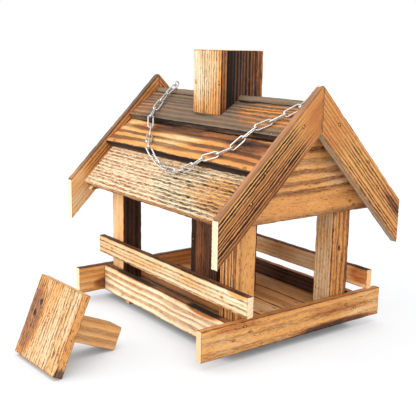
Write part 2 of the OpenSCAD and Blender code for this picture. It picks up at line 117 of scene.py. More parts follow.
# Grain direction, outward face, material slot and finish of every board, by its node
X, Y, Z = Vector((1, 0, 0)), Vector((0, 1, 0)), Vector((0, 0, 1))
FRONT_RISE, FRONT_OUT = Y + Z, Z - Y
BACK_FALL, BACK_OUT = Y - Z, Y + Z
FLOORING = finish(level=0.2, grey=0.6, line=0.4, spacing=18, width=0.35, soft=0.6, dash=0.1)
RAIL = finish(level=0.07, edge=0.62, line=0.95, burn=0.22, spacing=5, dash=0.5, pith=(-30, -60))
BOARDS = {
    **{f"floor_board_{i}": (X, Z, "floor_board", {**FLOORING, "level": level})
       for i, level in enumerate((0.45, 0.28, 0.14, 0.22, 0.18), 1)},
    "batten_far": (Y, -X, "batten", finish(level=0.25)),
    "batten_near": (Y, X, "batten", finish(level=0.25)),
    "front_rim": (X, -Y, "rim", finish(
        level=0.0, edge=0.6, burn=0.06, spacing=7, width=0.3, soft=0.4, dash=0.3, waver=7,
        fleck=0.25, pith=(-40, -60), scorch=((96, 17, 34, 5, 0.6), (-60, 18, 50, 2.5, 0.3)),
    )),
    "back_rim": (-X, Y, "rim", finish(level=0.22, edge=0.3, back=0.6, spacing=6)),
    "far_end_rim": (-Y, -X, "rim", finish(
        level=0.2, patchy=0.15, edge=0.45, end=0.05, back=0.02, line=0.5, spacing=8, soft=0.5,
        scorch=((106, -8, 20, 9, 0.4),),
    )),
    "near_end_rim": (Y, X, "rim", finish(
        level=0.22, patchy=0.08, rim=0.3, edge=0.12, end=0.1, line=0.5, burn=0.2, spacing=9,
        width=0.3, soft=0.5, dash=0.6, waver=8, fleck=0.5, pith=(-50, -60),
        scorch=((70, -16, 80, 6, 0.5), (70, 4, 60, 5, 0.2), (-95, 14, 40, 4, 0.2),
                (20, -19, 120, 2, 0.5)),
    )),
    "post_front_far": (Z, X, "post", finish(
        level=0.78, edge=-0.64, back=-0.2, line=0.8, spacing=6.5, width=0.4,
        calm=((0, 15, 250, 2, 0.9),),
    )),
    "post_front_near": (Z, X, "post", finish(
        level=0.26, patchy=0.05, rim=0.3, edge=0.06, line=1.0, burn=1.0, width=0.54, soft=0.1,
        fleck=0.6, pith=(-45, -4), calm=((0, -7, 200, 17, 0.9),),
    )),
    "post_back_far": (Z, X, "post", finish(
        level=0.3, edge=0.1, back=-0.2, line=1.0, burn=0.5, width=0.4, soft=0.2,
    )),
    "post_back_near": (Z, X, "post", finish(
        # Its negative edge value is painted light: the narrow faces are made lighter against the
        # shade under the roof.
        level=0.36, rim=0.55, edge=-0.25, line=0.75, burn=0.35, spacing=3.4, width=0.36,
        dash=0.4, fleck=0.8, pith=(-50, -40), knots=((-16, 2, 2.2),),
        calm=((0, 20, 200, 14, 0.5),),
    )),
    "front_rail": (X, -Y, "rail", {
        **RAIL, "level": 0.09, "along": -0.05, "end": 0.04, "scorch": ((150, 10, 20, 4, 0.2),),
    }),
    "back_rail": (-X, Y, "rail", {
        **RAIL, "level": 0.2, "back": -0.08, "line": 0.35, "edge": 0.5,
        "scorch": ((-158, 3, 20, 12, 0.35),),
    }),
    "far_gable": (-Y, -X, "gable", finish(spacing=11, soft=0.5, waver=7, pith=(-90, -110))),
    "near_gable": (Y, X, "gable", finish(
        level=0.22, across=0.02, rim=0.1, line=1.0, burn=0.0, spacing=12, width=0.36, soft=0.35,
        dash=0.3, waver=12, fleck=0.6, pith=(-60, -160),
        # The last oval is painted light: it lightens the top, where the barge boards shade the
        # gable.
        scorch=((0, -58, 140, 12, 0.1), (0, -40, 140, 16, 0.07), (0, 34, 150, 50, -0.02)),
        calm=((0, -46, 150, 14, 0.8),),
    )),
    "front_eave_plank": (X, FRONT_OUT, "roof_plank", finish(
        level=-0.01, along=0.09, patchy=0.06, rim=0.05, edge=0.25, line=1.0, burn=0.14,
        spacing=4.4, width=0.52, soft=0.4, dash=0.45, waver=5, fleck=1.0, pith=(-60, -120),
        scorch=((125, -4, 75, 26, 0.15), (0, 34, 160, 6, -0.08)),
        burns=((110, -6, 120, 36, 1.0),),
    )),
    "front_middle_plank": (X, FRONT_OUT, "roof_plank", finish(
        level=0.27, patchy=0.16, rim=0.15, edge=0.62, line=1.0, burn=0.6, spacing=10,
        width=0.36, dash=0.05, waver=8, fleck=0.25, pith=(-60, -80),
        # The first two ovals darken the upper edge under the ridge plank's lip: partly char,
        # partly painted shadow of that lip.
        scorch=((40, 15, 170, 7, 0.36), (-100, 10, 50, 8, 0.15), (90, -6, 80, 20, 0.14),
                (130, 8, 60, 12, 0.3), (-20, 2, 60, 7, -0.1)), calm=((-20, 2, 60, 6, 0.5),),
    )),
    "front_ridge_plank": (X, FRONT_OUT, "roof_plank", finish(
        level=0.58, edge=0.33, grey=0.9, burn=0.5, spacing=5.5, width=0.36, soft=0.5, dash=0.3,
        waver=6, pith=(-60, -80),
        # The ovals at 53 and -41.5 along are painted shadow in the notch and saw cut beside the
        # chimney.
        scorch=((-150, 0, 36, 40, -0.13), (115, 8, 75, 30, -0.24), (53, 27, 22, 4.2, 1.2),
                (-41.5, 27, 11, 4.2, 1.2), (0, -8, 33, 2.5, 0.4)),
    )),
    "back_eave_plank": (-X, BACK_OUT, "roof_plank", finish(
        level=0.12, along=-0.1, edge=0.25, line=0.95, burn=0.2, spacing=7, dash=0.5, waver=5,
        fleck=0.4, pith=(-70, -130), knots=((60, 8, 4),),
    )),
    "back_middle_plank": (-X, BACK_OUT, "roof_plank", finish(
        level=0.26, patchy=0.15, edge=0.5, line=1.0, burn=0.3, spacing=10, width=0.36,
        soft=0.45, waver=8, pith=(-70, -90),
    )),
    "back_ridge_plank": (-X, BACK_OUT, "roof_plank", finish(
        level=0.46, grey=0.9, line=0.75, spacing=7.5, width=0.36, soft=0.5, waver=6,
        pith=(-60, -90), knots=((-90, 10, 4),),
    )),
    "barge_front_far": (FRONT_RISE, -X, "barge", finish(
        level=0.28, along=0.08, edge=0.36, end=0.0, back=0.0, lower=0.12, line=0.8, burn=1.0,
        spacing=4, width=0.4, soft=0.12, pith=(-30, -60), scorch=((-100, 0, 55, 60, -0.08),),
        calm=((-100, 0, 50, 60, 0.7),),
    )),
    "barge_front_near": (FRONT_RISE, X, "barge", finish(
        level=0.35, along=-0.02, across=-0.07, patchy=0.05, rim=0.12, edge=0.17, end=-0.05,
        upper=0.17, line=1.0, burn=1.0, spacing=3.3, width=0.58, soft=0.1, dash=0.05,
        fleck=0.15, pith=(-25, -58),
        scorch=((-10, 14, 170, 7, -0.08), (0, 22, 200, 4, 0.08), (120, 0, 55, 60, 0.14),
                (-60, -4, 110, 40, 0.05)), calm=((120, 0, 70, 60, 0.85), (0, 22, 200, 5, 0.5)),
    )),
    "barge_back_far": (BACK_FALL, -X, "barge", finish(
        level=0.26, edge=0.3, lower=0.6, burn=0.3, pith=(-30, -60),
    )),
    "barge_back_near": (BACK_FALL, X, "barge", finish(
        level=0.28, along=0.08, patchy=0.06, rim=0.35, edge=0.15, lower=0.75, line=0.9,
        burn=0.9, spacing=3.6, width=0.42, soft=0.12, dash=0.3, fleck=0.3, pith=(-25, -58),
        scorch=((85, 8, 36, 6, 0.3), (-110, 0, 75, 60, 0.13)), calm=((-110, 0, 75, 60, 0.55),),
    )),
    "chimney_front": (Z, -Y, "chimney", finish(
        level=0.12, across=-0.12, rim=0.45, edge=0.28, end=0.2, line=0.8, burn=0.4, spacing=3.6,
        width=0.4, soft=0.3, dash=0.5, pith=(-40, -60),
        scorch=((-60, 0, 165, 90, 0.5), (-60, 26, 165, 9, 0.35)),
        burns=((-60, 0, 165, 90, 1.0),),
    )),
    "chimney_back": (Z, Y, "chimney", finish(
        level=0.16, edge=0.28, end=0.2, burn=0.2, spacing=5.5, pith=(-40, -60),
        scorch=((-60, 0, 165, 90, 0.4),),
    )),
    "chimney_cheek_far": (Z, -X, "chimney", finish(
        level=0.4, end=0.2, line=0.9, burn=0.5, spacing=4, pith=(-30, -60),
    )),
    "chimney_cheek_near": (Z, X, "chimney", finish(
        level=0.71, across=0.1, patchy=0.03, rim=0.35, end=0.2, line=1.0, burn=1.0, spacing=4.4,
        width=0.5, soft=0.1, dash=0.05, waver=2, pith=(-25, -60),
        scorch=((0, 27, 400, 14, 0.28),),
    )),
    "cap_plate": (Z, -Y, "cap", finish(
        level=0.16, rim=0.2, edge=0.08, grey=0.4, burn=0.3, spacing=4, width=0.36, soft=0.4,
        dash=0.75, waver=4, fleck=1.4, pith=(-40, -70), knots=((18, 27, 2.4), (4, 33, 2.6)),
        scorch=((-4, 34, 46, 19, 0.34), (-47, -47, 10, 3, 0.5)), calm=((0, -47.5, 60, 3, 1.0),),
    )),
    "cap_plug": (Y, Z, "cap", finish(
        level=0.17, patchy=0.04, rim=0.05, edge=0.0, end=0.14, back=0.0, line=0.55, spacing=6,
        width=0.3, soft=0.6, dash=0.3, fleck=0.05,
    )),
}

BRADS = ("rim_brads", "rail_brads", "gable_brads", "barge_brads", "roof_brads",
         "chimney_brads", "floor_brads", "cap_brads")


# What a user may change

COLOUR = {"subtype": "COLOR_GAMMA", "size": 3, "min": 0, "max": 1}


class FeederWood(bpy.types.PropertyGroup):
    """Sizes of the boards' grain and edges, and the colours of torched pine."""

    cell_along: bpy.props.FloatProperty(
        name="Cell along", description="Mesh cell along the grain", default=4 * MM,
        unit="LENGTH",
    )
    cell_across: bpy.props.FloatProperty(
        name="Cell across", description="Mesh cell across the grain", default=1 * MM,
        unit="LENGTH",
    )
    edge_round: bpy.props.FloatProperty(
        name="Edge rounding", description="Radius of a board's worn edges",
        default=0.9 * MM, unit="LENGTH",
    )
    groove: bpy.props.FloatProperty(
        name="Groove depth", description="Depth of the brushed grain's grooves",
        default=0.32 * MM, unit="LENGTH",
    )
    chips: bpy.props.FloatProperty(
        name="Edge chips", description="Depth of the wear along the edges",
        default=0.7 * MM, unit="LENGTH",
    )
    cream: bpy.props.FloatVectorProperty(
        name="Cream", description="Bare planed pine", default=(0.99, 0.91, 0.76), **COLOUR,
    )
    honey: bpy.props.FloatVectorProperty(
        name="Honey", description="Lightly torched pine", default=(0.93, 0.67, 0.38), **COLOUR,
    )
    amber: bpy.props.FloatVectorProperty(
        name="Amber", description="Torched pine", default=(0.79, 0.49, 0.26), **COLOUR,
    )
    rust: bpy.props.FloatVectorProperty(
        name="Rust", description="Late wood that the torch barely touched",
        default=(0.60, 0.36, 0.20), **COLOUR,
    )
    umber: bpy.props.FloatVectorProperty(
        name="Umber", description="Deeply torched pine", default=(0.40, 0.26, 0.18), **COLOUR,
    )
    char: bpy.props.FloatVectorProperty(
        name="Char", description="Charred pine", default=(0.15, 0.11, 0.09), **COLOUR,
    )
    driftwood: bpy.props.FloatVectorProperty(
        name="Driftwood", description="Grey weathered pine", default=(0.52, 0.44, 0.36),
        **COLOUR,
    )


class FeederMetal(bpy.types.PropertyGroup):
    """Colours and shapes of the plated chain, the eye screws and the brads."""

    steel: bpy.props.FloatVectorProperty(
        name="Steel", description="Bright plated steel", default=(0.86, 0.86, 0.85), **COLOUR,
    )
    brass: bpy.props.FloatVectorProperty(
        name="Brass", description="Brass-coloured brads", default=(0.86, 0.68, 0.30), **COLOUR,
    )
    thread_pitch: bpy.props.FloatProperty(
        name="Thread pitch", description="Pitch of an eye screw's thread", default=1 * MM,
        unit="LENGTH",
    )
    weld: bpy.props.FloatProperty(
        name="Weld", description="Thickening of a link at its weld, as a share",
        default=0.1,
    )


class FeederStage(bpy.types.PropertyGroup):
    """Camera, lamps and floor."""

    lens: bpy.props.FloatProperty(
        name="Lens", description="Focal length on a 36 mm sensor", default=64.8,
        unit="CAMERA",
    )
    place: bpy.props.FloatVectorProperty(
        name="Camera place", description="Where the camera stands", subtype="XYZ",
        unit="LENGTH", default=(0.778146, -0.611171, 0.354411),
    )
    turn: bpy.props.FloatVectorProperty(
        name="Camera turn", description="Yaw, pitch down and roll in degrees", size=3,
        default=(53.1592, 12.0267, 1.1393),
    )
    key: bpy.props.FloatProperty(
        name="Key", description="Strength of the soft key light", default=1.9,
    )
    fill: bpy.props.FloatProperty(
        name="Fill", description="Strength of the white room around the feeder", default=0.76,
    )
    floor: bpy.props.FloatVectorProperty(
        name="Floor", description="Colour of the floor", default=(0.94, 0.955, 0.975), **COLOUR,
    )


def wood():
    return bpy.context.scene.feeder_wood


def metal():
    return bpy.context.scene.feeder_metal


def linear(colour):
    """A screen colour as the linear one that a shader takes."""
    return [c / 12.92 if c <= 0.04045 else ((c + 0.055) / 1.055) ** 2.4 for c in colour]


# Node trees


class Weaver:
    """Adds nodes to a tree, and joins sockets or sets plain values. Where a value goes
    in, a node stands for its first output."""

    def __init__(self, tree):
        self.tree = tree

    def put(self, socket, value):
        if isinstance(value, bpy.types.Node):
            value = value.outputs[0]
        if isinstance(value, bpy.types.NodeSocket):
            self.tree.links.new(value, socket)
        elif socket.type == "RGBA" and len(value) == 3:
            socket.default_value = (*value, 1)
        else:
            socket.default_value = value

    def feed(self, node, inputs):
        """Puts a value, if there is one, on each input. Keys are names or numbers."""
        for key, value in inputs.items():
            if value is not None:
                self.put(node.inputs[key], value)

    def node(self, kind, inputs=None, **settings):
        made = self.tree.nodes.new(kind)
        for name, value in settings.items():
            setattr(made, name, value)
        self.feed(made, inputs or {})
        return made

    def math(self, operation, a, b=None, clamp=False):
        return self.node("ShaderNodeMath", {0: a, 1: b}, operation=operation, use_clamp=clamp)

    def plus(self, a, b, clamp=False):
        return self.math("ADD", a, b, clamp)

    def minus(self, a, b):
        return self.math("SUBTRACT", a, b)

    def times(self, a, b, clamp=False):
        return self.math("MULTIPLY", a, b, clamp)

    def vector(self, operation, a, b=None, scale=None):
        made = self.node("ShaderNodeVectorMath", {0: a, 1: b, "Scale": scale},
                         operation=operation)
        return made.outputs["Value" if operation == "LENGTH" else "Vector"]

    def split(self, vector):
        return list(self.node("ShaderNodeSeparateXYZ", {0: vector}).outputs)

    def join(self, x=0.0, y=0.0, z=0.0):
        return self.node("ShaderNodeCombineXYZ", {0: x, 1: y, 2: z})

    def noise(self, vector, detail=2.0, roughness=0.5):
        return self.node("ShaderNodeTexNoise", {
            "Vector": vector, "Scale": 1.0, "Detail": detail, "Roughness": roughness})

    def stretched(self, vector, along, across, seed, detail=2.0, roughness=0.5):
        """Noise in cells of that length along the grain and width across it."""
        scaled = self.vector("MULTIPLY", vector, (1 / along, 1 / across, 1 / across))
        return self.noise(self.vector("ADD", scaled, seed), detail, roughness)

    def rise(self, value, low, high, bottom=0.0, top=1.0):
        """A smooth rise from bottom to top while the value goes from low to high."""
        return self.node("ShaderNodeMapRange", {
            "Value": value, "From Min": low, "From Max": high, "To Min": bottom, "To Max": top,
        }, interpolation_type="SMOOTHSTEP")

    def blend(self, share, a, b):
        """Colour a where the share is 0, and b where it is 1."""
        return self.node("ShaderNodeMix", {0: share, 6: a, 7: b}, data_type="RGBA").outputs[2]

    def ramp(self, share, stops):
        """A colour ramp through (place, colour) stops."""
        made = self.node("ShaderNodeValToRGB", {0: share})
        elements = made.color_ramp.elements
        while len(elements) < len(stops):
            elements.new(1.0)
        for element, (place, colour) in zip(elements, stops):
            element.position = place
            element.color = (*colour, 1)
        return made

    def bump(self, height, strength, distance):
        return self.node("ShaderNodeBump", {
            "Strength": strength, "Distance": distance, "Height": height})

    def named(self, name, kind):
        """A named attribute of a mesh's or a curve's points."""
        made = self.node("GeometryNodeInputNamedAttribute", {"Name": name}, data_type=kind)
        return made.outputs["Attribute"]


def add_inputs(tree, rows):
    """Gives a tree an input for each name and default, a number or a vector."""
    for name, default in rows:
        kind = "NodeSocketVector" if isinstance(default, tuple) else "NodeSocketFloat"
        socket = tree.interface.new_socket(name, in_out="INPUT", socket_type=kind)
        socket.default_value = default


def start_tree(name, rows):
    """A tree of geometry nodes with those inputs, one for a mesh and one for its finish."""
    tree = bpy.data.node_groups.new(name, "GeometryNodeTree")
    tree.is_modifier = True
    for way in ("OUTPUT", "INPUT"):
        tree.interface.new_socket("Geometry", in_out=way, socket_type="NodeSocketGeometry")
    add_inputs(tree, rows)
    tree.interface.new_socket("Finish", in_out="INPUT", socket_type="NodeSocketMaterial")
    w = Weaver(tree)
    return w, w.node("NodeGroupInput").outputs


def end_tree(w, geometry, material):
    """Makes instances real and gives the result its material."""
    real = w.node("GeometryNodeRealizeInstances", {0: geometry})
    dressed = w.node("GeometryNodeSetMaterial", {"Geometry": real, "Material": material})
    w.node("NodeGroupOutput", {0: dressed})
    return w.tree


def new_material(name):
    """A material, the weaver of its nodes and its surface shader."""
    material = bpy.data.materials.new(name)
    material.use_nodes = True
    tree = material.node_tree
    return material, Weaver(tree), tree.nodes["Principled BSDF"]


# The nodes' inputs that a board's finish sets, by its words
GRAIN_WORDS = {
    "spacing": "Ring spacing", "width": "Line width", "soft": "Line softness",
    "drift": "Drift", "waver": "Waver", "dash": "Dashes",
}
TONE_WORDS = {
    "level": "Torching", "along": "More along", "across": "More across",
    "patchy": "Patchiness", "rim": "Edge band", "edge": "Edge faces", "end": "Sawn ends",
    "back": "Inner face", "lower": "Lower greyness", "upper": "Upper greyness",
    "grey": "Greyness", "line": "Line strength", "fleck": "Flecks",
}
NOWHERE = (0.0, 0.0, 0.0)
GRAIN_INPUTS = (
    ("Seed", 0.0), *((socket, PLAIN[word]) for word, socket in GRAIN_WORDS.items()),
    ("Pith depth", PLAIN["pith"][0]), ("Pith shift", PLAIN["pith"][1]),
    ("Knot 1", NOWHERE), ("Knot 2", NOWHERE),
)
TONE_INPUTS = (
    ("Line burn", PLAIN["burn"]), ("End gap", 1.0), ("Scorch and painted shading", 0.0), ("Calm", 0.0),
    *((socket, PLAIN[word]) for word, socket in TONE_WORDS.items()),
)


def knot_field(w, place, knot):
    """The place moved as the grain flows round a knot, and how near its core it is."""
    along, across, through = w.split(place)
    knot_along, knot_across, radius = w.split(knot)
    off = w.minus(across, knot_across)
    shape = w.join(w.times(w.minus(along, knot_along), 0.6), off)
    near = w.math("DIVIDE", w.vector("LENGTH", shape), w.math("MAXIMUM", radius, 0.01))
    swirl = w.math("EXPONENT", w.times(w.times(near, near), -0.12))
    real = w.math("GREATER_THAN", radius, 0.05)
    pull = w.times(w.times(swirl, real), 0.75)
    core = w.times(w.rise(near, 1.25, 0.7), real)
    return w.join(along, w.minus(across, w.times(off, pull)), through), core


def grain(w, place, given):
    """Growth rings of a board in its own frame, in millimetres: how much late wood
    there is, the fine fibres and the knots' cores. The boards' relief and their
    colours are both made from it, so that grooves and dark lines agree."""
    seed = w.times(given["Seed"], 7.31)
    shift = w.join(seed, w.times(seed, 1.7), w.times(seed, 0.6))
    place, core_1 = knot_field(w, place, given["Knot 1"])
    place, core_2 = knot_field(w, place, given["Knot 2"])
    along, across, through = w.split(place)

    # Rings round the pith, bent over a hand's width, a finger's and a hair's
    depth = w.plus(given["Pith depth"], w.times(given["Drift"], along))
    radius = w.vector("LENGTH", w.join(
        w.minus(across, given["Pith shift"]), w.minus(through, depth)))
    torn = w.plus(w.times(given["Ring spacing"], 0.16), 0.8)
    for length, breadth, roughness, amount in (
        (95, 26, 0.5, given["Waver"]), (12, 4, 0.5, 1.2), (5, 0.9, 0.6, torn),
    ):
        bend = w.minus(w.stretched(place, length, breadth, shift, 2.0, roughness), 0.5)
        radius = w.plus(radius, w.times(bend, amount))
    rings = w.math("DIVIDE", radius, given["Ring spacing"])
    uneven = w.stretched(w.join(rings), 2.4, 2.4, shift, 1.0)
    phase = w.plus(rings, w.times(uneven, 1.4))
    ring = w.math("FLOOR", phase)
    inside = w.minus(phase, ring)

    # Late wood comes softly and ends sharply in each ring, more in some than in others
    start = w.minus(0.92, w.plus(given["Line width"], given["Line softness"]))
    rising = w.rise(inside, start, w.plus(start, given["Line softness"]))
    late = w.times(rising, w.rise(inside, 1.0, 0.9))
    own = w.node("ShaderNodeTexWhiteNoise", {"W": w.plus(ring, seed)}, noise_dimensions="1D")
    late = w.times(late, w.rise(own, -0.1, 0.5, 0.6, 1.0))
    late = w.times(late, w.rise(w.stretched(place, 80, 7, shift), 0.3, 0.5, 0.65, 1.0))
    dash = w.rise(w.stretched(place, 9, 1.5, shift), 0.42, 0.56)
    late = w.times(late, w.minus(1.0, w.times(dash, given["Dashes"])))
    return {
        "late": late, "fibre": w.stretched(place, 22, 0.75, shift, 3.0, 0.6),
        "core": w.math("MAXIMUM", core_1, core_2), "place": place, "shift": shift,
    }


def relief_tree():
    """Geometry nodes that carve a board's brushed grain and worn edges."""
    w, given = start_tree("Brushed board relief", (
        ("Board place", NOWHERE), ("Board turn", NOWHERE), ("Half size", (1.0, 1.0, 1.0)),
        ("Groove depth", 0.3), ("Chip depth", 0.5), *GRAIN_INPUTS,
    ))
    away = w.vector("SUBTRACT", w.node("GeometryNodeInputPosition"), given["Board place"])
    turned = w.node("ShaderNodeVectorRotate", {"Vector": away, "Rotation": given["Board turn"]},
                    rotation_type="EULER_XYZ", invert=True)
    place = w.vector("SCALE", turned, scale=1 / MM)
    found = grain(w, place, given)
    grooves = w.plus(w.times(found["late"], 0.7), w.times(found["fibre"], 0.5))
    grooves = w.plus(grooves, w.times(found["core"], 0.6))
    # Two of the three distances to the faces are small along an edge
    gap = w.vector("SUBTRACT", given["Half size"], w.vector("ABSOLUTE", place))
    near_end, near_side, near_face = (w.rise(way, 2.4, 0.2) for way in w.split(gap))
    edge = w.times(near_side, near_face)
    end_edge = w.times(near_end, w.math("MAXIMUM", near_side, near_face))
    wear = w.rise(w.stretched(place, 13, 4, found["shift"], 3.0), 0.42, 0.75)
    chips = w.times(w.math("MAXIMUM", edge, end_edge), wear)
    sink = w.plus(w.times(grooves, given["Groove depth"]), w.times(chips, given["Chip depth"]))
    moved = w.node("GeometryNodeSetPosition", {
        "Geometry": given["Geometry"],
        "Offset": w.vector("SCALE", w.node("GeometryNodeInputNormal"), scale=w.times(sink, -MM)),
    })
    return end_tree(w, moved, given["Finish"])


def torched_pine_group():
    """Shader nodes that turn the grain and a board's torching into its colour,
    roughness and fine height."""
    tree = bpy.data.node_groups.new("Torched pine", "ShaderNodeTree")
    for name, kind in (("Colour", "NodeSocketColor"), ("Roughness", "NodeSocketFloat"),
                       ("Height", "NodeSocketFloat")):
        tree.interface.new_socket(name, in_out="OUTPUT", socket_type=kind)
    add_inputs(tree, (("Place", NOWHERE), ("Facing", (0.0, 0.0, 1.0)),
                      ("Half size", (1.0, 1.0, 1.0)), *TONE_INPUTS, *GRAIN_INPUTS))
    w = Weaver(tree)
    given = w.node("NodeGroupInput").outputs
    found = grain(w, given["Place"], given)
    place, shift = found["place"], found["shift"]

    # Which way the surface looks, in the board's own frame
    end, side, front = w.split(given["Facing"])
    sawn = w.times(w.rise(w.math("ABSOLUTE", end), 0.5, 0.64),
                   w.rise(given["End gap"], 5.0, 2.0))
    whole = w.minus(1.0, sawn)
    narrow = w.times(w.rise(w.math("ABSOLUTE", side), 0.55, 0.75), whole)
    inner = w.times(w.rise(front, -0.55, -0.75), whole)

    # On any face one gap is nothing, so the second smallest is the way to an edge
    gap = w.vector("SUBTRACT", given["Half size"], w.vector("ABSOLUTE", given["Place"]))
    _, gap_across, gap_through = w.split(gap)
    way_in = w.math(
        "MAXIMUM", w.math("MINIMUM", gap_across, gap_through),
        w.math("MINIMUM", given["End gap"], w.math("MAXIMUM", gap_across, gap_through)))
    ragged = w.times(w.stretched(place, 18, 5, shift, 3.0), 4.0)
    edge = w.rise(way_in, ragged, 0.0)
    singe = w.times(w.rise(way_in, 1.3, 0.3), w.rise(ragged, 1.2, 2.6, 0.05, 0.26))

    # How far the torch went, with the painted shade and light that some of the finish's ovals add
    share_along, share_across, _ = w.split(
        w.vector("DIVIDE", given["Place"], given["Half size"]))
    patch = w.times(w.minus(w.stretched(place, 70, 22, shift), 0.5), 4.0)
    fleck = w.rise(w.stretched(place, 6, 1.1, shift, 3.0, 0.6), 0.55, 0.68)
    streak = w.minus(found["fibre"], 0.5)
    torch = w.plus(given["Torching"], given["Scorch and painted shading"])
    for factor, amount in (
        (share_along, given["More along"]), (share_across, given["More across"]),
        (patch, given["Patchiness"]), (edge, given["Edge band"]),
        (narrow, given["Edge faces"]), (inner, given["Inner face"]),
        (w.times(fleck, given["Flecks"]), 0.55), (singe, 1.0), (streak, 0.3),
        (found["core"], 0.45),
    ):
        torch = w.plus(torch, w.times(factor, amount))
    bare = w.plus(given["Sawn ends"], w.times(streak, 0.2))
    torch = w.plus(w.times(torch, whole), w.times(bare, sawn), clamp=True)

    # Early and late wood take the torch differently
    tones = {name: linear(getattr(wood(), name)) for name in
             ("cream", "honey", "amber", "rust", "umber", "char", "driftwood")}
    early = w.ramp(torch, ((0.0, tones["cream"]), (0.22, tones["honey"]), (0.45, tones["amber"]),
                           (0.72, tones["umber"]), (1.0, tones["char"])))
    burnt = w.plus(torch, given["Line burn"], clamp=True)
    late = w.ramp(burnt, ((0.0, [c * 0.85 for c in tones["amber"]]), (0.14, tones["rust"]),
                          (0.32, tones["umber"]), (0.52, tones["char"]),
                          (1.0, [c * 0.5 for c in tones["char"]])))
    dark = w.times(found["late"], given["Line strength"], clamp=True)
    dark = w.times(dark, w.minus(1.0, w.times(sawn, 0.8)))
    dark = w.times(dark, w.minus(1.0, given["Calm"]), clamp=True)
    colour = w.blend(dark, early, late)

    # Weathered grey, and the paler grey of narrow faces
    driftwood = tones["driftwood"]
    weather = w.times(w.rise(torch, 0.3, 0.55), w.rise(torch, 1.0, 0.8))
    colour = w.blend(w.times(weather, given["Greyness"], clamp=True), colour,
                     w.blend(dark, driftwood, [c * 0.3 for c in driftwood]))
    pale = w.plus(w.times(w.rise(side, -0.5, -0.6), given["Lower greyness"]),
                  w.times(w.rise(side, 0.5, 0.6), given["Upper greyness"]))
    faded = [(a + b) / 2 for a, b in zip(driftwood, tones["cream"])]
    colour = w.blend(w.times(narrow, pale), colour,
                     w.blend(w.times(dark, 0.5), faded, driftwood))
    fibres = w.node("ShaderNodeHueSaturation", {
        "Value": w.plus(0.92, w.times(found["fibre"], 0.16)), "Color": colour})
    w.node("NodeGroupOutput", {
        "Colour": fibres, "Roughness": w.rise(torch, 0.0, 1.0, 0.6, 0.78),
        "Height": w.minus(w.times(found["fibre"], 0.35), w.times(found["late"], 0.65)),
    })
    return tree


def shared_tree(name, maker):
    return bpy.data.node_groups.get(name) or maker()


# Boards

# Painted shade round a brad's hole, an oval: its reach in head radii, along and across, and how
# much darker it makes the wood
HOLE_SHADE_ALONG, HOLE_SHADE_ACROSS, HOLE_SHADE_AMOUNT = 2.6, 1.6, 0.36


def node_points(node):
    """The corners of a CAD node's mesh."""
    return np.array([v.co for v in frame["nodes"][node].data.vertices], float).reshape(-1, 3)


@functools.cache
def brad_heads():
    """Where the brads' heads are, the ways that they look, their radii and nodes."""
    heads = []
    for node in BRADS:
        for part in loose_parts(node):
            middle, axes, size = main_axes(part)
            along = (part - middle) @ axes[0]
            off_axis = np.linalg.norm(part - middle - np.outer(along, axes[0]), axis=1)
            head_side = along[off_axis > off_axis.max() * 0.95].mean()
            axis = axes[0] * (1 if head_side > 0 else -1)
            heads.append((middle + axis * size[0] / 2, axis, size[1] / 2, node))
    return heads


class Board:
    """A CAD board's own frame, its half sizes and the four corners of its outline."""

    def __init__(self, node, grain_way, face_way):
        self.node = node
        sums = {}
        for face in frame["nodes"][node].data.polygons:
            key = tuple(round(c, 2) + 0.0 for c in face.normal)
            sums[key] = sums.get(key, Vector()) + face.normal * face.area
        # The walls of the brads' holes are far smaller than the board's own faces
        least = max(way.length for way in sums.values()) * 0.02
        ways = [(way.normalized(), way.length) for way in sums.values() if way.length > least]
        self.face = max(ways, key=lambda way: way[0].dot(face_way.normalized()))[0]
        hint = grain_way.normalized()
        edges = [way for way in ways if abs(way[0].dot(self.face)) < 0.03]
        edge = max(edges, key=lambda way: way[1] * (1 - abs(way[0].dot(hint))))[0]
        along = self.face.cross(edge).normalized()
        self.along = along if along.dot(hint) > 0 else -along
        self.side = self.face.cross(self.along).normalized()
        self.turn = Matrix((self.along, self.side, self.face)).transposed()
        local = node_points(node) @ np.array(self.turn)
        low, high = local.min(0), local.max(0)
        self.middle = (low + high) / 2
        self.half = (high - low) / 2
        self.place = self.turn @ Vector(self.middle)
        self.euler = self.turn.to_euler("XYZ")
        local -= self.middle
        scaled = local / self.half
        self.corners = [
            [local[np.argmax(scaled[:, 0] * a + scaled[:, 1] * b)][:2] for b in (-1, 1)]
            for a in (-1, 1)
        ]


def lines(length, cell, edge, extra=()):
    """Places of a grid's lines along a length, close together at both edges. An
    extra line takes the place of those beside it."""
    inner = max(2, int(round((length - 2 * edge) / cell)) + 1)
    places = list(np.linspace(edge, length - edge, inner))
    places += [0.0, edge * 0.2, edge * 0.55, length - edge * 0.55, length - edge * 0.2, length]
    places = [p for p in places if all(abs(p - e) > cell * 0.3 for e in extra)] + list(extra)
    return np.array(sorted(places))


def board_grid(board, edge, cuts):
    """Lines of a board's grid in its three ways, and which cells are solid."""
    size, cell = 2 * board.half, wood().cell_across
    rims = []
    for axis in (0, 1):
        places = {c + board.half[axis] for low, high in cuts for c in (low[axis], high[axis])}
        rims.append([c for c in sorted(places) if 0 < c < size[axis]])
    grid = [lines(size[0], wood().cell_along, edge, rims[0]),
            lines(size[1], cell, edge, rims[1]), lines(size[2], cell * 1.5, edge)]
    solid = np.ones([len(g) - 1 for g in grid], bool)
    middles = [(g[1:] + g[:-1]) / 2 for g in grid]
    for low, high in cuts:
        inside = [(middles[axis] > low[axis] + board.half[axis])
                  & (middles[axis] < high[axis] + board.half[axis]) for axis in (0, 1)]
        solid[np.ix_(*inside, np.ones(len(middles[2]), bool))] = False
    return grid, solid


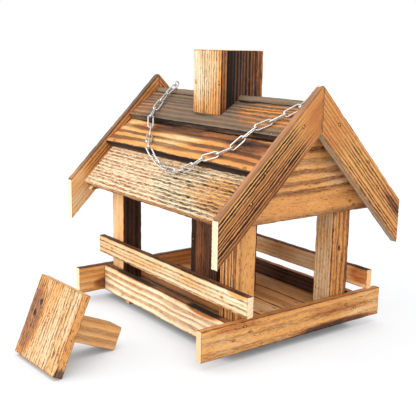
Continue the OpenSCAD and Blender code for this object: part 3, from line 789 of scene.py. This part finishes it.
def shell_quads(solid, counts):
    """Outward quads between the solid cells of a grid and what is outside them."""
    index = np.arange(np.prod(counts)).reshape(counts)
    faces = []
    for axis in range(3):
        padded = np.pad(solid, [(1, 1) if a == axis else (0, 0) for a in range(3)])
        before = padded.take(range(padded.shape[axis] - 1), axis)
        after = padded.take(range(1, padded.shape[axis]), axis)
        b, c = (axis + 1) % 3, (axis + 2) % 3
        for outward, mask in ((True, before & ~after), (False, after & ~before)):
            at = np.argwhere(mask)
            corner = []
            for db, dc in ((0, 0), (1, 0), (1, 1), (0, 1)):
                spot = at.copy()
                spot[:, b] += db
                spot[:, c] += dc
                corner.append(index[tuple(spot.T)])
            faces.append(np.stack(corner if outward else corner[::-1], 1))
    return np.concatenate(faces)


def board_mesh(name, board, cuts=()):
    """A board's surface as a grid of quads with rounded edges. Cuts are boxes in the
    board's frame, (low, high) along and across, that go right through it."""
    size = 2 * board.half
    edge = min(wood().edge_round, size[2] / 4)
    grid, solid = board_grid(board, edge, cuts)
    used, faces = np.unique(shell_quads(solid, [len(g) for g in grid]), return_inverse=True)
    spots = np.stack(np.meshgrid(*grid, indexing="ij"), -1).reshape(-1, 3)[used]

    # Edges and corners onto a round of that radius
    inner = np.clip(spots, edge, size - edge)
    out = spots - inner
    reach = np.linalg.norm(out, axis=1)
    shell = reach > 1e-9
    scale = np.ones(len(spots))
    scale[shell] = np.abs(out[shell]).max(1) / reach[shell]
    spots = inner + out * scale[:, None]

    # The grid's rectangle onto the board's four corners
    u, v = spots[:, 0:1] / size[0], spots[:, 1:2] / size[1]
    (c00, c01), (c10, c11) = board.corners
    flat = (1 - u) * (1 - v) * c00 + (1 - u) * v * c01 + u * (1 - v) * c10 + u * v * c11
    local = np.concatenate([flat, spots[:, 2:3] - board.half[2]], 1)
    world = (local + board.middle) @ np.array(board.turn).T
    return plain_mesh(name, world, faces.reshape(-1, 4))


def plain_mesh(name, points, faces):
    mesh = bpy.data.meshes.new(name)
    mesh.from_pydata([tuple(p) for p in points], [], [tuple(map(int, f)) for f in faces])
    mesh.polygons.foreach_set("use_smooth", [True] * len(mesh.polygons))
    mesh.update()
    return mesh


def grain_values(given, seed):
    knot_1, knot_2 = [*given["knots"], NOWHERE, NOWHERE][:2]
    return {
        "Seed": seed, "Pith depth": given["pith"][0], "Pith shift": given["pith"][1],
        "Knot 1": knot_1, "Knot 2": knot_2,
        **{socket: given[word] for word, socket in GRAIN_WORDS.items()},
    }


def brad_hole_shades(board):
    """Painted shade of the brads' holes: ovals where brads go into a board's outward face."""
    hole_shades = []
    for top, axis, head, _ in brad_heads():
        spot = (np.array(top) @ np.array(board.turn) - board.middle) / MM
        inside = np.abs(spot) < board.half / MM + 0.5
        if inside.all() and axis @ np.array(board.face) > 0.9:
            reach = head / MM
            hole_shades.append((float(spot[0]), float(spot[1]), reach * HOLE_SHADE_ALONG,
                          reach * HOLE_SHADE_ACROSS, HOLE_SHADE_AMOUNT))
    return hole_shades


def marks(w, place, rows):
    """How much of a finish's ovals there is at a place. Each fades out round its rim."""
    total = 0.0
    for along, across, reach, breadth, amount in rows:
        off = w.vector("SUBTRACT", place, (along, across, 0))
        off = w.vector("MULTIPLY", off, (1 / reach, 1 / breadth, 0))
        total = w.plus(total, w.times(w.rise(w.vector("LENGTH", off), 1.15, 0.55), amount))
    return total


def end_gap(w, place, board):
    """The way from a place to the nearer end, which may be cut aslant."""
    along, across, _ = w.split(place)
    gaps = []
    for sign, ((x0, y0), (x1, y1)) in zip((-1, 1), board.corners):
        slant = (x1 - x0) / (y1 - y0)
        line = w.plus(w.times(across, slant), (x0 - slant * y0) / MM)
        gaps.append(w.times(w.minus(line, along), sign / math.hypot(1, slant)))
    return w.math("MINIMUM", *gaps)


def board_material(name, board, given, seed):
    """Torched pine in a board's own frame, taken from its object coordinates."""
    material, w, shader = new_material(name)
    coordinates = w.node("ShaderNodeTexCoord").outputs
    place = w.node("ShaderNodeMapping", {
        "Vector": coordinates["Object"], "Location": board.place, "Rotation": board.euler,
        "Scale": (MM, MM, MM),
    }, vector_type="TEXTURE")
    facing = w.node("ShaderNodeMapping", {
        "Vector": coordinates["Normal"], "Rotation": board.euler,
    }, vector_type="TEXTURE")
    pine = w.node("ShaderNodeGroup", node_tree=shared_tree("Torched pine", torched_pine_group))
    w.feed(pine, {
        "Place": place, "Facing": facing, "Half size": tuple(board.half / MM),
        "End gap": end_gap(w, place, board), "Calm": marks(w, place, given["calm"]),
        # The finish's ovals, with the painted shade round the brads' holes
        "Scorch and painted shading": marks(w, place, [*given["scorch"], *brad_hole_shades(board)]),
        "Line burn": w.plus(marks(w, place, given["burns"]), given["burn"]),
        **{socket: given[word] for word, socket in TONE_WORDS.items()},
        **grain_values(given, seed),
    })
    w.feed(shader, {
        "Base Color": pine.outputs["Colour"], "Roughness": pine.outputs["Roughness"],
        "Specular IOR Level": 0.25, "Normal": w.bump(pine.outputs["Height"], 0.7, 0.4 * MM),
    })
    return material


def modifier_result(piece, tree, values):
    """The piece's mesh after that geometry node tree, with no modifier left."""
    modifier = piece.modifiers.new(tree.name, "NODES")
    modifier.node_group = tree
    keys = {item.name: item.identifier for item in tree.interface.items_tree
            if item.item_type == "SOCKET" and item.in_out == "INPUT"}
    for name, value in values.items():
        modifier[keys[name]] = value
    evaluated = piece.evaluated_get(bpy.context.evaluated_depsgraph_get())
    made = bpy.data.meshes.new_from_object(evaluated)
    piece.modifiers.remove(modifier)
    old, piece.data = piece.data, made
    made.name = piece.name
    bpy.data.meshes.remove(old)


def settle(piece, node, slot_name):
    """The finished piece rides on the body of the node that it stands for."""
    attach(piece, frame["nodes"][node]["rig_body"])
    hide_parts(node)


def add_piece(name, mesh):
    piece = bpy.data.objects.new(name, mesh)
    bpy.context.scene.collection.objects.link(piece)
    return piece


def make_board(node):
    grain_way, face_way, slot_name, given = BOARDS[node]
    board = Board(node, grain_way, face_way)
    seed = 1.0 + list(BOARDS).index(node)
    name = node + "_wood"
    cuts = notch_cuts(board) if "ridge" in node else ()
    piece = add_piece(name, board_mesh(name, board, cuts))
    modifier_result(piece, shared_tree("Brushed board relief", relief_tree), {
        "Board place": board.place, "Board turn": Vector(board.euler),
        "Half size": board.half / MM, "Groove depth": wood().groove / MM,
        "Chip depth": wood().chips / MM,
        "Finish": board_material(name, board, given, seed), **grain_values(given, seed),
    })
    settle(piece, node, slot_name)


def notch_cuts(board):
    """Boxes that the chimney's notch and the saw cut beside it take out of a ridge
    plank, found from the corners on the plank's upper face."""
    local = node_points(board.node) @ np.array(board.turn) - board.middle
    top = local[local[:, 2] > board.half[2] - 0.05 * MM]
    low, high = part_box("chimney_front")
    wide = (high.x - low.x) / 2 + 3 * MM
    beside = np.abs(top[:, 0])
    rim_gap = board.half[1] - np.abs(top[:, 1])
    notch = top[(beside < wide) & (beside > wide - 6 * MM) & (rim_gap > 1 * MM)]
    saw = top[(beside < wide * 3) & (top[:, 1] > board.half[1] - 2 * MM)]
    past = board.half[1] + 1 * MM
    return [((row[:, 0].min(), row[:, 1].min()), (row[:, 0].max(), past)) for row in (notch, saw)]


# Metal


def loose_parts(node):
    """The separate solids of a CAD node, as arrays of points."""
    points = node_points(node)
    keys = {}
    same = np.array([keys.setdefault(tuple(np.round(p * 1e5).astype(int)), i)
                     for i, p in enumerate(points)])
    root = same.copy()

    def find(i):
        while root[i] != i:
            root[i] = root[root[i]]
            i = root[i]
        return i

    for face in frame["nodes"][node].data.polygons:
        first = find(same[face.vertices[0]])
        for vertex in face.vertices[1:]:
            root[find(same[vertex])] = first
    groups = {}
    for i, p in enumerate(points):
        groups.setdefault(find(same[i]), []).append(p)
    return [np.array(g) for g in groups.values()]


def main_axes(points):
    """A part's middle, its axes from the longest to the shortest, and its sizes."""
    rough = points.mean(0)
    _, _, axes = np.linalg.svd(points - rough, full_matrices=False)
    if np.linalg.det(axes) < 0:
        axes[2] *= -1
    local = points @ axes.T
    middle = axes.T @ ((local.min(0) + local.max(0)) / 2)
    return middle, axes, local.max(0) - local.min(0)


def metal_material(name, colour, roughness, dirt, grime):
    """Plated metal with fine scratches and dull places."""
    material, w, shader = new_material(name)
    place = w.node("ShaderNodeTexCoord").outputs["Object"]

    def noise(scale, detail, fineness=0.5):
        return w.noise(w.vector("SCALE", place, scale=scale), detail, fineness)

    dull = w.rise(noise(260, 3.0, 0.6), 0.4, 0.7)
    spots = w.rise(noise(900, 2.0, 0.6), 0.6, 0.72)
    shade = w.blend(w.times(dull, dirt), linear(colour), linear(grime))
    w.feed(shader, {
        "Base Color": w.blend(w.times(spots, dirt), shade, linear(grime)), "Metallic": 1.0,
        "Roughness": w.plus(roughness, w.times(w.math("MAXIMUM", dull, spots), 0.14)),
        "Normal": w.bump(noise(1500, 2.0), 0.3, 0.05 * MM),
    })
    return material


def steel_material():
    return bpy.data.materials.get("plated_steel") or metal_material(
        "plated_steel", metal().steel, 0.24, 0.35, (0.55, 0.54, 0.52))


def brass_material():
    return bpy.data.materials.get("brad_brass") or metal_material(
        "brad_brass", metal().brass, 0.3, 0.5, (0.45, 0.33, 0.16))


def points_object(name, places, attributes):
    """A mesh of loose points with attributes, for geometry nodes to build on."""
    mesh = bpy.data.meshes.new(name)
    mesh.from_pydata([tuple(p) for p in places], [], [])
    for key, (kind, field, values) in attributes.items():
        attribute = mesh.attributes.new(key, kind, "POINT")
        attribute.data.foreach_set(field, np.array(values, np.float32).ravel())
    return add_piece(name, mesh)


def turns(columns):
    """The attribute of turns whose matrices have those columns."""
    quaternions = [tuple(Matrix(c).transposed().to_quaternion()) for c in columns]
    return {"turn": ("QUATERNION", "value", quaternions)}


def set_on_points(w, points, piece):
    """The piece on every point, turned as the point says."""
    return w.node("GeometryNodeInstanceOnPoints", {
        "Points": points, "Instance": piece, "Rotation": w.named("turn", "QUATERNION"),
    })


def chain_tree():
    """Geometry nodes: a bent wire link on each point, as long as its point says."""
    w, given = start_tree("Welded chain", (
        ("Wire radius", 1 * MM), ("Bend radius", 3 * MM), ("Weld", 0.1)))
    circle = w.node("GeometryNodeCurvePrimitiveCircle",
                    {"Resolution": 40, "Radius": given["Bend radius"]})
    along = w.split(w.node("GeometryNodeInputPosition"))[0]
    halves = w.node("GeometryNodeStoreNamedAttribute", {
        "Geometry": circle, "Name": "half", "Value": w.math("SIGN", w.plus(along, 1e-6)),
    }, data_type="FLOAT", domain="POINT")
    rings = w.node("GeometryNodeRealizeInstances",
                   {0: set_on_points(w, given["Geometry"], halves)})
    spread = w.node("GeometryNodeSetPosition", {
        "Geometry": rings,
        "Offset": w.vector("SCALE", w.named("run", "FLOAT_VECTOR"),
                           scale=w.named("half", "FLOAT")),
    })
    # Even points along the link, thicker where it is welded
    even = w.node("GeometryNodeResampleCurve", {"Curve": spread, "Count": 72})
    share = w.node("GeometryNodeSplineParameter").outputs["Factor"]
    off_weld = w.math("ABSOLUTE", w.minus(share, 0.25))
    swell = w.times(w.rise(off_weld, 0.022, 0.008), given["Weld"])
    wire = w.node("GeometryNodeCurvePrimitiveCircle",
                  {"Resolution": 14, "Radius": given["Wire radius"]})
    swept = w.node("GeometryNodeCurveToMesh", {
        "Curve": even, "Profile Curve": wire, "Scale": w.plus(swell, 1.0)})
    smooth = w.node("GeometryNodeSetShadeSmooth", {0: swept})
    return end_tree(w, smooth, given["Finish"])


def brad_tree():
    """Geometry nodes: a domed head with its shank on each point."""
    w, given = start_tree("Brads", (
        ("Head radius", 1.3 * MM), ("Head height", 0.8 * MM), ("Shank radius", 0.65 * MM),
        ("Shank length", 8 * MM)))
    radius, height = given["Head radius"], given["Head height"]
    ball = w.node("GeometryNodeMeshUVSphere", {"Segments": 14, "Rings": 8, "Radius": 1.0})
    head = w.node("GeometryNodeTransform", {
        "Geometry": ball, "Translation": w.join(z=w.times(height, -0.5)),
        "Scale": w.join(radius, radius, w.times(height, 0.5)),
    })
    rod = w.node("GeometryNodeMeshCylinder", {
        "Vertices": 10, "Radius": given["Shank radius"], "Depth": given["Shank length"]})
    shank = w.node("GeometryNodeTransform", {
        "Geometry": rod,
        "Translation": w.join(z=w.times(w.plus(given["Shank length"], height), -0.5)),
    })
    brad = w.node("GeometryNodeJoinGeometry", {0: head})
    w.put(brad.inputs[0], shank)
    smooth = w.node("GeometryNodeSetShadeSmooth", {0: brad})
    return end_tree(w, set_on_points(w, given["Geometry"], smooth), given["Finish"])


def swept_wire(path, radius, sides=14):
    """Points and faces of a round wire along a path, closed at both ends."""
    path = [Vector(p) for p in path]
    points, faces = [], []
    ahead = (path[1] - path[0]).normalized()
    up = ahead.orthogonal().normalized()
    for i, p in enumerate(path):
        a, b = path[max(i - 1, 0)], path[min(i + 1, len(path) - 1)]
        new = (b - a).normalized()
        up = (up - new * up.dot(new)).normalized()
        other = new.cross(up)
        for k in range(sides):
            angle = 2 * math.pi * k / sides
            points.append(p + (up * math.cos(angle) + other * math.sin(angle)) * radius[i])
    last = (len(path) - 1) * sides
    for row in range(0, last, sides):
        for k in range(sides):
            j = (k + 1) % sides
            faces.append((row + k, row + j, row + sides + j, row + sides + k))
    faces.append(tuple(range(sides))[::-1])
    faces.append(tuple(range(last, last + sides)))
    return points, faces


def eye_screw_path(node):
    """An eye screw's centre line and its wire's radius, from the tip round the ring."""
    low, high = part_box(node)
    wire = (high.x - low.x) / 2
    ring = (high.y - low.y) / 2 - wire
    centre = Vector(((low.x + high.x) / 2, (low.y + high.y) / 2, high.z - ring - wire))
    foot, neck = low.z, centre.z - ring
    pitch, thread, tip = metal().thread_pitch, 0.05 * MM, 2.4 * MM
    per_turn, ring_steps, ring_turn = 8, 48, 352
    steps = int((neck - foot) / pitch * per_turn)
    path, radius = [], []
    for i in range(steps):
        z = foot + (neck - foot) * i / steps
        turn = 2 * math.pi * (z - foot) / pitch
        sway = thread if z < neck - 2.5 * wire else 0.0
        path.append((centre.x + sway * math.cos(turn), centre.y + sway * math.sin(turn), z))
        taper = min(1.0, 0.25 + (z - foot) / tip)
        radius.append(wire * 0.9 * taper)
    for i in range(ring_steps + 1):
        angle = math.radians(-90 + ring_turn * i / ring_steps)
        path.append((centre.x, centre.y + ring * math.cos(angle),
                     centre.z + ring * math.sin(angle)))
        radius.append(wire)
    return path, radius


# Operators


class BoardsOperator:
    """Makes the boards in the slots that a subclass names."""

    slots = ()

    def execute(self, context):
        for node, (_, _, slot_name, _) in BOARDS.items():
            if slot_name in self.slots:
                make_board(node)
        return {"FINISHED"}


class FEEDER_OT_floor(BoardsOperator, bpy.types.Operator):
    """Five floor boards on their two battens"""

    bl_idname = "feeder.floor"
    bl_label = "Floor boards and battens"
    slots = ("floor_board", "batten")


class FEEDER_OT_rims(BoardsOperator, bpy.types.Operator):
    """Rim boards round the floor"""

    bl_idname = "feeder.rims"
    bl_label = "Rims"
    slots = ("rim",)


class FEEDER_OT_posts(BoardsOperator, bpy.types.Operator):
    """Four posts and the two perch rails"""

    bl_idname = "feeder.posts"
    bl_label = "Posts and rails"
    slots = ("post", "rail")


class FEEDER_OT_gables(BoardsOperator, bpy.types.Operator):
    """Gable boards and the barge boards in front of them"""

    bl_idname = "feeder.gables"
    bl_label = "Gables and barge boards"
    slots = ("gable", "barge")


class FEEDER_OT_roof(BoardsOperator, bpy.types.Operator):
    """Lapped roof planks, the ridge planks notched for the chimney"""

    bl_idname = "feeder.roof"
    bl_label = "Roof planks"
    slots = ("roof_plank",)


class FEEDER_OT_chimney(BoardsOperator, bpy.types.Operator):
    """Chimney that is the seed hopper"""

    bl_idname = "feeder.chimney"
    bl_label = "Chimney"
    slots = ("chimney",)


class FEEDER_OT_cap(BoardsOperator, bpy.types.Operator):
    """Loose cap of the chimney, plate and plug"""

    bl_idname = "feeder.cap"
    bl_label = "Cap"
    slots = ("cap",)


class FEEDER_OT_chain(bpy.types.Operator):
    """Hanging chain of welded links"""

    bl_idname = "feeder.chain"
    bl_label = "Chain"

    def execute(self, context):
        links = [main_axes(part) for part in loose_parts("chain_links")]
        places, columns, sizes = zip(*links)
        runs = [axes[0] * (size[0] - size[1]) / 2 for axes, size in zip(columns, sizes)]
        _, wide, thick = sizes[-1]
        piece = points_object("chain_wire_links", places, {
            **turns(columns), "run": ("FLOAT_VECTOR", "vector", runs)})
        modifier_result(piece, chain_tree(), {
            "Wire radius": float(thick / 2), "Bend radius": float((wide - thick) / 2),
            "Weld": metal().weld, "Finish": steel_material(),
        })
        settle(piece, "chain_links", "steel")
        return {"FINISHED"}


class FEEDER_OT_eyes(bpy.types.Operator):
    """Two eye screws that hold the chain"""

    bl_idname = "feeder.eyes"
    bl_label = "Eye screws"

    def execute(self, context):
        for node in ("eye_screw_far", "eye_screw_near"):
            name = node + "_wire"
            mesh = plain_mesh(name, *swept_wire(*eye_screw_path(node)))
            mesh.materials.append(steel_material())
            settle(add_piece(name, mesh), node, "steel")
        return {"FINISHED"}


class FEEDER_OT_brads(bpy.types.Operator):
    """Brass brads in the boards"""

    bl_idname = "feeder.brads"
    bl_label = "Brads"

    def execute(self, context):
        tree = brad_tree()
        for node in BRADS:
            places, columns = [], []
            for top, axis, head, owner in brad_heads():
                if owner == node:
                    side = np.array(Vector(axis).orthogonal().normalized())
                    places.append(top + axis * 0.1 * MM)
                    columns.append((side, np.cross(axis, side), axis))
            piece = points_object(node + "_brass", places, turns(columns))
            modifier_result(piece, tree, {
                "Head radius": float(head), "Head height": float(head * 0.7),
                "Shank radius": float(head / 2), "Finish": brass_material()})
            settle(piece, node, "brass")
        return {"FINISHED"}


class FEEDER_OT_stage(bpy.types.Operator):
    """Camera, soft key light, white room and the floor that takes the shadow"""

    bl_idname = "feeder.stage"
    bl_label = "Stage"

    def execute(self, context):
        scene = context.scene
        stage = scene.feeder_stage
        scene.view_settings.view_transform = "Standard"
        self.add_camera(scene, stage)
        self.add_sun(scene, "key", stage.key, angle=55, way=(-0.35, -0.90, 0.52),
                     colour=(1, 0.995, 0.98))
        self.add_sun(scene, "side_fill", stage.key * 0.45, angle=70, way=(1.0, -0.25, 0.5),
                     colour=(1, 1, 1))
        self.add_room(scene, stage)
        self.add_floor(stage)
        return {"FINISHED"}

    @staticmethod
    def add_camera(scene, stage):
        """The photo's camera, from its place, yaw, pitch down and roll."""
        camera = bpy.data.objects.new("camera", bpy.data.cameras.new("camera"))
        scene.collection.objects.link(camera)
        scene.camera = camera
        camera.data.lens = stage.lens
        camera.data.sensor_width = 36
        camera.data.clip_start = 0.05
        yaw, pitch, roll = (math.radians(a) for a in stage.turn)
        back = Vector((math.sin(yaw) * math.cos(pitch), -math.cos(yaw) * math.cos(pitch),
                       math.sin(pitch)))
        right = (-back).cross(Z).normalized()
        up = right.cross(-back)
        across = right * math.cos(roll) + up * math.sin(roll)
        upright = up * math.cos(roll) - right * math.sin(roll)
        turned = Matrix((across, upright, back)).transposed().to_4x4()
        turned.translation = Vector(stage.place)
        camera.matrix_world = turned

    @staticmethod
    def add_sun(scene, name, strength, angle, way, colour):
        """A sun as wide as that angle in degrees, so soft, that stands that way."""
        light = bpy.data.lights.new(name, "SUN")
        light.energy = strength
        light.angle = math.radians(angle)
        light.color = colour
        lamp = bpy.data.objects.new(name, light)
        scene.collection.objects.link(lamp)
        lamp.rotation_mode = "QUATERNION"
        lamp.rotation_quaternion = (-Vector(way)).to_track_quat("-Z", "Y")

    def add_room(self, scene, stage):
        """White all round, dimmer as a light than as it is seen."""
        world = bpy.data.worlds.new("white_room")
        scene.world = world
        world.use_nodes = True
        w = Weaver(world.node_tree)
        w.feed(world.node_tree.nodes["Background"], {
            "Color": (1, 1, 1, 1),
            "Strength": w.rise(self.shown(w), 0.0, 1.0, stage.fill, 1.0),
        })

    def add_floor(self, stage):
        """White as the room, but for the dark round where the feeder stands: the lamps' shadow,
        with a painted contact shadow from ambient occlusion.
        """
        size = 4.0
        mesh = plain_mesh("floor", [(-size, -size, 0), (size, -size, 0), (size, size, 0),
                                    (-size, size, 0)], [(0, 1, 2, 3)])
        floor = add_piece("floor", mesh)
        floor.location.z = -0.2 * MM
        material, w, shader = new_material("white_floor")
        mesh.materials.append(material)
        place = w.node("ShaderNodeTexCoord").outputs["Object"]
        cloud = w.times(w.noise(w.vector("SCALE", place, scale=3)), 0.02)
        w.feed(shader, {
            "Base Color": w.blend(cloud, linear(stage.floor), (0.85, 0.85, 0.86)),
            "Roughness": 0.9, "Specular IOR Level": 0.0,
        })
        # Painted contact shadow: the floor's glow dims where ambient occlusion finds the feeder
        # close by
        contact_occlusion = w.node("ShaderNodeAmbientOcclusion", {"Distance": 70 * MM}, samples=8)
        glow_and_painted_contact_shadow = w.node("ShaderNodeEmission", {
            "Color": (1, 1, 1, 1),
            "Strength": w.rise(contact_occlusion.outputs["AO"], 0.0, 0.9, 0.15, 1.08),
        })
        far = w.rise(w.vector("LENGTH", place), 0.55, 1.1)
        mixed = w.node("ShaderNodeMixShader", {
            0: w.times(w.math("MAXIMUM", far, 0.7), self.shown(w)),
            1: shader, 2: glow_and_painted_contact_shadow,
        })
        w.feed(material.node_tree.nodes["Material Output"], {"Surface": mixed})

    @staticmethod
    def shown(w):
        """1 for rays that show the room itself, straight or in metal."""
        path = w.node("ShaderNodeLightPath").outputs
        seen = w.math("MAXIMUM", path["Is Camera Ray"], path["Is Glossy Ray"])
        return w.math("MAXIMUM", seen, path["Is Transmission Ray"])


OPERATORS = (
    FEEDER_OT_floor, FEEDER_OT_rims, FEEDER_OT_posts, FEEDER_OT_gables, FEEDER_OT_roof,
    FEEDER_OT_chimney, FEEDER_OT_cap, FEEDER_OT_chain, FEEDER_OT_eyes, FEEDER_OT_brads,
    FEEDER_OT_stage,
)


class FEEDER_PT_panel(bpy.types.Panel):
    """Lists the feeder's pieces and what can be changed about them"""

    bl_idname = "FEEDER_PT_panel"
    bl_label = "Bird feeder"
    bl_space_type = "VIEW_3D"
    bl_region_type = "UI"
    bl_category = "Feeder"

    def draw(self, context):
        layout = self.layout
        for title, group in (("Wood", context.scene.feeder_wood),
                             ("Metal", context.scene.feeder_metal),
                             ("Stage", context.scene.feeder_stage)):
            box = layout.box()
            box.label(text=title)
            for name in group.bl_rna.properties.keys():
                if name not in ("rna_type", "name"):
                    box.prop(group, name)
        for operator in OPERATORS:
            layout.operator(operator.bl_idname)


CLASSES = (FeederWood, FeederMetal, FeederStage, *OPERATORS, FEEDER_PT_panel)


def register():
    for cls in CLASSES:
        bpy.utils.register_class(cls)
    bpy.types.Scene.feeder_wood = bpy.props.PointerProperty(type=FeederWood)
    bpy.types.Scene.feeder_metal = bpy.props.PointerProperty(type=FeederMetal)
    bpy.types.Scene.feeder_stage = bpy.props.PointerProperty(type=FeederStage)


def unregister():
    del bpy.types.Scene.feeder_stage
    del bpy.types.Scene.feeder_metal
    del bpy.types.Scene.feeder_wood
    for cls in reversed(CLASSES):
        bpy.utils.unregister_class(cls)


def main():
    register()
    for operator in OPERATORS:
        group, name = operator.bl_idname.split(".")
        getattr(getattr(bpy.ops, group), name)()


if __name__ == "__main__":
    main()
